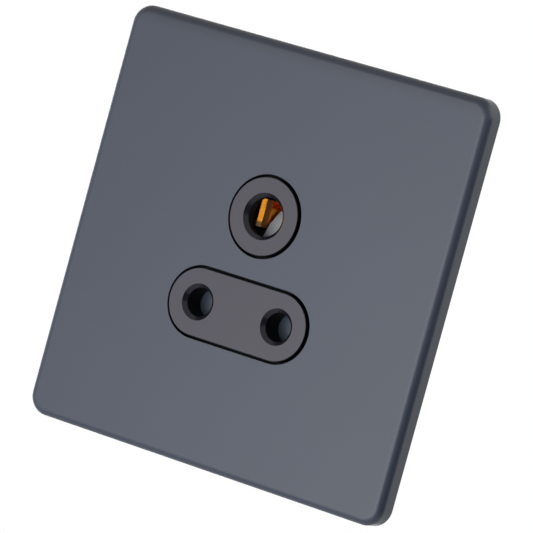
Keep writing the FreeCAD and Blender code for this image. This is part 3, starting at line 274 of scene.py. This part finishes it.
class SurfaceFinish(Finish):
    """A material built round one Principled shader."""

    def __init__(self, name, metallic=0.0, gloss=0.5):
        self.material = bpy.data.materials.new(name)
        self.material.use_nodes = True
        super().__init__(self.material.node_tree)
        self.shader = self.tree.nodes["Principled BSDF"]
        self.shader.inputs["Metallic"].default_value = metallic
        self.shader.inputs["Specular IOR Level"].default_value = gloss

    def place(self):
        return self.add("ShaderNodeTexCoord", {}, {}, "Object")

    def stretched(self, across, along, up):
        return self.add("ShaderNodeMapping", {}, {"Vector": self.place(), "Scale": (across, along, up)})

    def noise(self, where, feature, detail=2.0):
        inputs = {"Vector": where, "Scale": 1.0 / feature, "Detail": detail, "Roughness": 0.55}
        return self.add("ShaderNodeTexNoise", {}, inputs)

    def ramp(self, factor, low, high):
        settings = {"stops": ((low, (0.0, 0.0, 0.0, 1.0)), (high, (1.0, 1.0, 1.0, 1.0)))}
        return self.add("ShaderNodeValToRGB", settings, {"Fac": factor})

    def rise(self, axis, start, end):
        """A soft step from 0 to 1 between two places along an axis."""
        where = self.add("ShaderNodeSeparateXYZ", {}, {"Vector": self.place()}, axis)
        inputs = {"Value": where, "From Min": start, "From Max": end}
        return self.add("ShaderNodeMapRange", {"interpolation_type": "SMOOTHSTEP"}, inputs)

    def colour(self, value):
        self.feed(self.shader.inputs["Base Color"], value)

    def roughness(self, value):
        self.feed(self.shader.inputs["Roughness"], value)

    def bump(self, height, distance, strength):
        inputs = {"Height": height, "Distance": distance, "Strength": strength}
        self.feed(self.shader.inputs["Normal"], self.add("ShaderNodeBump", {}, inputs))


def shade(colour, factor):
    """A colour made lighter or darker, with full alpha."""
    return tuple(min(1.0, part * factor) for part in colour) + (1.0,)


def paint_finish(finishes):
    """Fine matt paint, with painted shade that darkens it along the plate's upper edge."""
    finish = SurfaceFinish("anthracite_paint", gloss=0.42)
    place = finish.place()
    pebbles = finish.noise(place, finishes.grain, 3.0)
    clouds = finish.noise(place, 60 * finishes.grain, 2.0)
    flecks = finish.ramp(pebbles, 0.35, 0.72)
    tone = 0.82 * clouds + 0.18 * flecks
    colour = finishes.paint
    coat = finish.blend(tone, shade(colour, 0.93), shade(colour, 1.09))
    # Painted shade: a darker colour towards the plate's upper edge, where less light falls
    painted_top_shade = finish.rise("Z", TOP_SHADE_START, TOP_SHADE_START + TOP_SHADE_FADE)
    finish.colour(finish.blend(0.6 * painted_top_shade, coat, shade(colour, 0.15)))
    finish.roughness(finishes.paint_roughness - 0.06 + 0.12 * pebbles)
    finish.bump(pebbles, 0.05 * finishes.grain, 0.35)
    return finish.material


def moulded_finish(name, colour, roughness, gloss):
    """Moulded plastic with a fine grain and faint flow marks."""
    finish = SurfaceFinish(name, gloss=gloss)
    place = finish.place()
    spark = finish.noise(place, 0.18 * MM, 2.0)
    flow = finish.noise(finish.stretched(1.0, 1.0, 0.35), 9 * MM, 3.0)
    finish.colour(finish.blend(flow, shade(colour, 0.95), shade(colour, 1.06)))
    finish.roughness(roughness - 0.05 + 0.1 * flow)
    finish.bump(spark, 0.006 * MM, 0.3)
    return finish.material


def shutter_finish(finishes):
    """Pale ramp above dark blades, each with the same fine moulded surface."""
    finish = SurfaceFinish("shutter_moulding")
    flow = finish.noise(finish.stretched(1.0, 1.0, 0.35), 4 * MM, 3.0)
    upper = finish.rise("Z", RAMP_FOOT, RAMP_FOOT + SHARP_FADE)
    pale = finish.blend(flow, shade(finishes.ramp, 0.93), shade(finishes.ramp, 1.05))
    dark = finish.blend(flow, shade(finishes.blades, 0.93), shade(finishes.blades, 1.05))
    finish.colour(finish.blend(upper, dark, pale))
    finish.roughness(0.36 + 0.1 * flow)
    finish.bump(finish.noise(finish.place(), 0.15 * MM), 0.005 * MM, 0.3)
    return finish.material


def strip_finish(name, colour, roughness):
    """Rolled bronze, with painted shade in a band where the lips bend, and darker and duller towards their foot."""
    finish = SurfaceFinish(name, metallic=1.0)
    rolled = finish.noise(finish.stretched(1.0, 0.06, 1.0), 0.12 * MM, 3.0)
    tarnish = finish.noise(finish.place(), 3.5 * MM, 4.0)
    dull = finish.ramp(tarnish, 0.48, 0.78)
    # Painted shade: a dark band across the lips where they bend
    bend = finish.rise("Y", BEND_SHADE_FRONT, BEND_SHADE_FRONT + SHARP_FADE) * (
        1 - finish.rise("Y", BEND_SHADE_BACK - SHARP_FADE, BEND_SHADE_BACK))
    # Darker colour below a set height
    dark_foot = 1 - finish.rise("Z", FOOT_DARKENS - FOOT_FADE, FOOT_DARKENS + FOOT_FADE)
    bend_shade_and_dark_foot = 0.86 * (bend + dark_foot - bend * dark_foot)
    bright = finish.blend(rolled, shade(colour, 0.93), shade(colour, 1.05))
    worn = finish.blend(0.35 * dull, bright, shade((0.42, 0.2, 0.07), 1.0))
    # Painted shade on the bend band, and a darker colour towards the foot
    finish.colour(finish.blend(bend_shade_and_dark_foot, worn, shade((0.3, 0.19, 0.1), 1.0)))
    finish.roughness(roughness + 0.12 * dull + 0.08 * rolled + 0.2 * bend_shade_and_dark_foot)
    finish.bump(rolled, 0.004 * MM, 0.25)
    return finish.material


def machined_finish(name, colour, roughness):
    """Turned or drawn metal with fine lines and a faint haze."""
    finish = SurfaceFinish(name, metallic=1.0)
    lines = finish.noise(finish.stretched(0.08, 1.0, 0.08), 0.1 * MM, 2.0)
    haze = finish.noise(finish.place(), 2.5 * MM, 3.0)
    finish.colour(finish.blend(haze, shade(colour, 0.9), shade(colour, 1.05)))
    finish.roughness(roughness + 0.14 * haze)
    finish.bump(lines, 0.004 * MM, 0.3)
    return finish.material


def rounded_copy(node, body, material, edge_round):
    """A smooth copy of a solid of the frame, with its facets joined and its edges softened."""
    shapes = bpy.context.scene.outlet_shapes
    bm = bmesh.new()
    bm.from_mesh(frame["nodes"][node].data)
    bmesh.ops.remove_doubles(bm, verts=bm.verts, dist=1e-6)
    bmesh.ops.dissolve_limit(
        bm, angle_limit=math.radians(0.5), use_dissolve_boundaries=False, verts=bm.verts, edges=bm.edges,
        delimit={"NORMAL"},
    )
    for face in bm.faces:
        face.smooth = True
    for edge in bm.edges:
        bend = edge.calc_face_angle(math.pi) if len(edge.link_faces) == 2 else math.pi
        edge.smooth = bend < shapes.sharp_angle
    mesh = bpy.data.meshes.new(node + "_finished")
    bm.to_mesh(mesh)
    bm.free()
    piece = bpy.data.objects.new(node + "_finished", mesh)
    bpy.context.scene.collection.objects.link(piece)
    mesh.materials.append(material)
    if edge_round > 0.0:
        bevel = piece.modifiers.new("edge_round", "BEVEL")
        bevel.width = edge_round
        bevel.segments = 2
        bevel.limit_method = "ANGLE"
        bevel.angle_limit = shapes.sharp_angle
        bevel.harden_normals = True
    weighted = piece.modifiers.new("even_shading", "WEIGHTED_NORMAL")
    weighted.keep_sharp = True
    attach(piece, body)
    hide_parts(node)
    return piece


def darken_cut_edges(piece, material):
    """Painted shade: the punched walls of the two cut-outs get a much darker colour."""
    piece.data.materials.append(material)
    reach = CUT_OUT_REACH * max(vertex.co.x for vertex in piece.data.vertices)
    for face in piece.data.polygons:
        if abs(face.normal.y) < 0.1 and max(abs(face.center.x), abs(face.center.z)) < reach:
            face.material_index = 1


def grade_front_moulding(piece, polished, recess_shade):
    """Textured in front and outside, polished along the chamfers, and painted shade farther back: a near-black
    colour on the hole walls and flange.
    """
    piece.data.materials.append(polished)
    piece.data.materials.append(recess_shade)
    front = min(vertex.co.y for vertex in piece.data.vertices)
    reach = OUTSIDE_REACH * max(vertex.co.x for vertex in piece.data.vertices)
    for face in piece.data.polygons:
        if max(abs(face.center.x), abs(face.center.z)) > reach:
            continue
        # Painted shade on the faces behind the plate's sheet
        if face.center.y > RECESS_SHADE_FRONT:
            face.material_index = 2
        elif face.center.y > front + FACE_DEPTH:
            face.material_index = 1


def wound_coil(name, low, high, wire, turns):
    """Round wire wound up the Z axis between two corners of a box, with both ends closed."""
    middle = (low + high) / 2
    coil = (high.x - low.x) / 2 - wire
    steps = round(COIL_STEPS * turns)
    climb = (high.z - low.z - 2 * wire) / steps
    bm = bmesh.new()
    bmesh.ops.create_circle(bm, segments=WIRE_SIDES, radius=wire)
    upright = Matrix.Rotation(math.radians(90), 3, "X")
    bmesh.ops.rotate(bm, verts=bm.verts, cent=MIDDLE, matrix=upright)
    bmesh.ops.translate(bm, verts=bm.verts, vec=(middle.x + coil, middle.y, low.z + wire))
    bmesh.ops.spin(
        bm, geom=bm.verts[:] + bm.edges[:], cent=middle, axis=(0.0, 0.0, 1.0), dvec=(0.0, 0.0, climb),
        angle=2 * math.pi * turns, steps=steps, use_merge=False, use_duplicate=False,
    )
    bmesh.ops.holes_fill(bm, edges=bm.edges, sides=WIRE_SIDES)
    bmesh.ops.recalc_face_normals(bm, faces=bm.faces)
    for face in bm.faces:
        face.smooth = len(face.verts) == 4
    mesh = bpy.data.meshes.new(name)
    bm.to_mesh(mesh)
    bm.free()
    coil_piece = bpy.data.objects.new(name, mesh)
    bpy.context.scene.collection.objects.link(coil_piece)
    return coil_piece


class OUTLET_OT_front_plate(bpy.types.Operator):
    """Pressed and painted front plate"""

    bl_idname = "outlet.front_plate"
    bl_label = "Front plate"

    def execute(self, context):
        finishes = context.scene.outlet_finishes
        material = paint_finish(finishes)
        piece = rounded_copy("front_plate", "outlet", material, 0.0)
        # Painted shade on the walls of the cut-outs
        darken_cut_edges(piece, moulded_finish("cut_edge_painted_shade", finishes.cut_edge_shade, 0.5, 0.2))
        return {"FINISHED"}


class OUTLET_OT_mouldings(bpy.types.Operator):
    """Front moulding, rear housing, clip frame and shutter cover"""

    bl_idname = "outlet.mouldings"
    bl_label = "Mouldings"

    def execute(self, context):
        finishes = context.scene.outlet_finishes
        edge_round = context.scene.outlet_shapes.moulded
        dark = moulded_finish("socket_moulding", finishes.socket, 0.42, 0.4)
        black = moulded_finish("frame_moulding", finishes.frame, 0.5, 0.45)
        front = rounded_copy("socket_front", "outlet", dark, 0.0)
        polished = moulded_finish("polished_moulding", finishes.polished, 0.22, 0.25)
        grade_front_moulding(front, polished, moulded_finish("recess_painted_shade", finishes.recess_shade, 0.45, 0.08))
        rounded_copy("rear_housing", "outlet", dark, edge_round)
        for node in ("clip_frame", "shutter_cover"):
            rounded_copy(node, "outlet", black, edge_round)
        return {"FINISHED"}


class OUTLET_OT_shutter(bpy.types.Operator):
    """Sliding shutter and its spring"""

    bl_idname = "outlet.shutter"
    bl_label = "Shutter"

    def execute(self, context):
        finishes = context.scene.outlet_finishes
        shapes = context.scene.outlet_shapes
        piece = rounded_copy("shutter_carriage", "shutter", shutter_finish(finishes), shapes.moulded)
        low, high = (Vector(corner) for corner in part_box("shutter_spring"))
        spring = wound_coil("shutter_spring_wound", low, high, shapes.spring_wire, shapes.spring_turns)
        spring.data.materials.append(machined_finish("spring_wire", finishes.wire, 0.25))
        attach(spring, "outlet")
        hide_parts("shutter_spring")
        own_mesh(spring)
        return {"FINISHED"}


class OUTLET_OT_contacts(bpy.types.Operator):
    """Contacts and the earth strap, folded from bronze strip"""

    bl_idname = "outlet.contacts"
    bl_label = "Contacts"

    def execute(self, context):
        bronze = strip_finish("contact_bronze", context.scene.outlet_finishes.bronze, 0.2)
        for node in ("earth_contact", "line_contact", "neutral_contact", "earth_strap"):
            rounded_copy(node, "outlet", bronze, 0.0)
        return {"FINISHED"}


class OUTLET_OT_terminals(bpy.types.Operator):
    """Brass terminal blocks"""

    bl_idname = "outlet.terminals"
    bl_label = "Terminals"

    def execute(self, context):
        edge_round = context.scene.outlet_shapes.metal
        brass = machined_finish("terminal_brass", context.scene.outlet_finishes.brass, 0.24)
        for node in ("earth_terminal", "line_terminal", "neutral_terminal"):
            rounded_copy(node, "outlet", brass, edge_round)
        return {"FINISHED"}


class OUTLET_OT_screws(bpy.types.Operator):
    """Terminal, housing and frame screws"""

    bl_idname = "outlet.screws"
    bl_label = "Screws"

    def execute(self, context):
        edge_round = context.scene.outlet_shapes.metal
        steel = machined_finish("screw_steel", context.scene.outlet_finishes.steel, 0.28)
        for node in sorted(frame["nodes"]):
            if "screw" in node:
                rounded_copy(node, "outlet", steel, edge_round)
        return {"FINISHED"}


def soft_lamp(name, place, size, power):
    """A square soft lamp that faces the middle of the plate."""
    data = bpy.data.lights.new(name, "AREA")
    data.shape = "SQUARE"
    data.size = size
    data.energy = power
    lamp = bpy.data.objects.new(name, data)
    lamp.location = place
    lamp.rotation_euler = (Vector(MIDDLE) - Vector(place)).to_track_quat("-Z", "Y").to_euler()
    bpy.context.scene.collection.objects.link(lamp)


def looked_at(finish):
    """1 where the camera, gloss or glass looks, and 0 for light itself."""
    rays = ("Is Camera Ray", "Is Glossy Ray", "Is Transmission Ray")
    camera, glossy, through = (finish.add("ShaderNodeLightPath", {}, {}, ray) for ray in rays)
    return finish.add("ShaderNodeMath", {"operation": "MINIMUM"}, {0: camera + glossy + through, 1: 1.0})


def set_up_room(studio):
    """White where it is looked at, and even light elsewhere."""
    world = bpy.data.worlds.new("studio")
    world.use_nodes = True
    bpy.context.scene.world = world
    finish = Finish(world.node_tree)
    background = world.node_tree.nodes["Background"]
    white = looked_at(finish)
    background.inputs["Color"].default_value = (1.0, 1.0, 1.0, 1.0)
    finish.feed(background.inputs["Strength"], white + (1 - white) * studio.room_light)


def set_up_camera(studio):
    """The camera at the photograph's angle."""
    back = Vector((
        math.sin(studio.azimuth) * math.cos(studio.elevation),
        -math.cos(studio.azimuth) * math.cos(studio.elevation),
        math.sin(studio.elevation),
    ))
    right = Vector((0.0, 0.0, 1.0)).cross(back).normalized()
    up = back.cross(right)
    turned_up = up * math.cos(studio.roll) + right * math.sin(studio.roll)
    turned_right = turned_up.cross(back)
    data = bpy.data.cameras.new("studio_camera")
    data.sensor_width = SENSOR_WIDTH
    data.lens = studio.focal_pixels * SENSOR_WIDTH / PHOTO_WIDTH
    data.clip_start = 0.01
    camera = bpy.data.objects.new("studio_camera", data)
    pose = Matrix((turned_right, turned_up, back)).transposed().to_4x4()
    pose.translation = Vector(studio.aim) + studio.distance * back
    camera.matrix_world = pose
    bpy.context.scene.collection.objects.link(camera)
    bpy.context.scene.camera = camera


def set_up_floor(studio):
    """A pale round floor that keeps a soft shadow."""
    bm = bmesh.new()
    bmesh.ops.create_circle(bm, cap_ends=True, segments=96, radius=studio.floor_radius)
    bmesh.ops.translate(bm, verts=bm.verts, vec=(0.0, 0.0, -studio.floor_drop))
    mesh = bpy.data.meshes.new("studio_floor")
    bm.to_mesh(mesh)
    bm.free()
    finish = SurfaceFinish("studio_floor")
    finish.colour((0.86, 0.86, 0.86, 1.0))
    finish.roughness(0.9)
    glow = finish.add("ShaderNodeEmission", {}, {"Strength": 1.0}, "Emission")
    matt = Signal(finish, finish.shader.outputs["BSDF"])
    pale = finish.add("ShaderNodeMixShader", {}, {0: 0.8 * looked_at(finish), 1: matt, 2: glow})
    finish.feed(finish.tree.nodes["Material Output"].inputs["Surface"], pale)
    mesh.materials.append(finish.material)
    floor = bpy.data.objects.new("studio_floor", mesh)
    bpy.context.scene.collection.objects.link(floor)


def set_up_side_card():
    """A black upright card that the lens doesn't see but gloss does."""
    place = Vector(CARD_PLACE)
    target = Vector((0.0, 0.0, place.z))
    bm = bmesh.new()
    bmesh.ops.create_grid(bm, x_segments=1, y_segments=1, size=0.5)
    bmesh.ops.scale(bm, verts=bm.verts, vec=(CARD_WIDTH, CARD_HEIGHT, 1.0))
    turn = (target - place).to_track_quat("-Z", "Y").to_matrix()
    bmesh.ops.rotate(bm, verts=bm.verts, cent=MIDDLE, matrix=turn)
    bmesh.ops.translate(bm, verts=bm.verts, vec=place)
    mesh = bpy.data.meshes.new("side_card")
    bm.to_mesh(mesh)
    bm.free()
    finish = SurfaceFinish("side_card", gloss=0.0)
    finish.colour((0.01, 0.01, 0.01, 1.0))
    mesh.materials.append(finish.material)
    card = bpy.data.objects.new("side_card", mesh)
    card.visible_camera = False
    bpy.context.scene.collection.objects.link(card)


class OUTLET_OT_studio(bpy.types.Operator):
    """Camera, soft lamps, dark card, white room and floor"""

    bl_idname = "outlet.studio"
    bl_label = "Studio"

    def execute(self, context):
        studio = context.scene.outlet_studio
        context.scene.view_settings.view_transform = "Standard"
        set_up_room(studio)
        set_up_camera(studio)
        set_up_floor(studio)
        soft_lamp("key_lamp", *KEY_LAMP, studio.key_power)
        soft_lamp("rear_lamp", *REAR_LAMP, studio.rear_power)
        soft_lamp("side_lamp", *SIDE_LAMP, studio.side_power)
        soft_lamp("glint_lamp", *GLINT_LAMP, studio.glint_power)
        set_up_side_card()
        return {"FINISHED"}


STEPS = (
    OUTLET_OT_front_plate,
    OUTLET_OT_mouldings,
    OUTLET_OT_shutter,
    OUTLET_OT_contacts,
    OUTLET_OT_terminals,
    OUTLET_OT_screws,
    OUTLET_OT_studio,
)


class OUTLET_PT_panel(bpy.types.Panel):
    """Sizes, colours and steps of the outlet"""

    bl_idname = "OUTLET_PT_panel"
    bl_label = "Round Pin Socket Outlet"
    bl_space_type = "VIEW_3D"
    bl_region_type = "UI"
    bl_category = "Outlet"

    def draw(self, context):
        for group in (context.scene.outlet_finishes, context.scene.outlet_shapes, context.scene.outlet_studio):
            box = self.layout.box()
            for name in group.bl_rna.properties.keys():
                if name not in ("rna_type", "name"):
                    box.prop(group, name)
        for step in STEPS:
            self.layout.operator(step.bl_idname)


GROUPS = (OutletFinishes, OutletShapes, OutletStudio)


def register():
    for item in GROUPS + STEPS + (OUTLET_PT_panel,):
        bpy.utils.register_class(item)
    bpy.types.Scene.outlet_finishes = PointerProperty(type=OutletFinishes)
    bpy.types.Scene.outlet_shapes = PointerProperty(type=OutletShapes)
    bpy.types.Scene.outlet_studio = PointerProperty(type=OutletStudio)


def unregister():
    del bpy.types.Scene.outlet_studio
    del bpy.types.Scene.outlet_shapes
    del bpy.types.Scene.outlet_finishes
    for item in reversed(GROUPS + STEPS + (OUTLET_PT_panel,)):
        bpy.utils.unregister_class(item)


def main():
    register()
    bpy.ops.outlet.front_plate()
    bpy.ops.outlet.mouldings()
    bpy.ops.outlet.shutter()
    bpy.ops.outlet.contacts()
    bpy.ops.outlet.terminals()
    bpy.ops.outlet.screws()
    bpy.ops.outlet.studio()


if __name__ == "__main__":
    main()
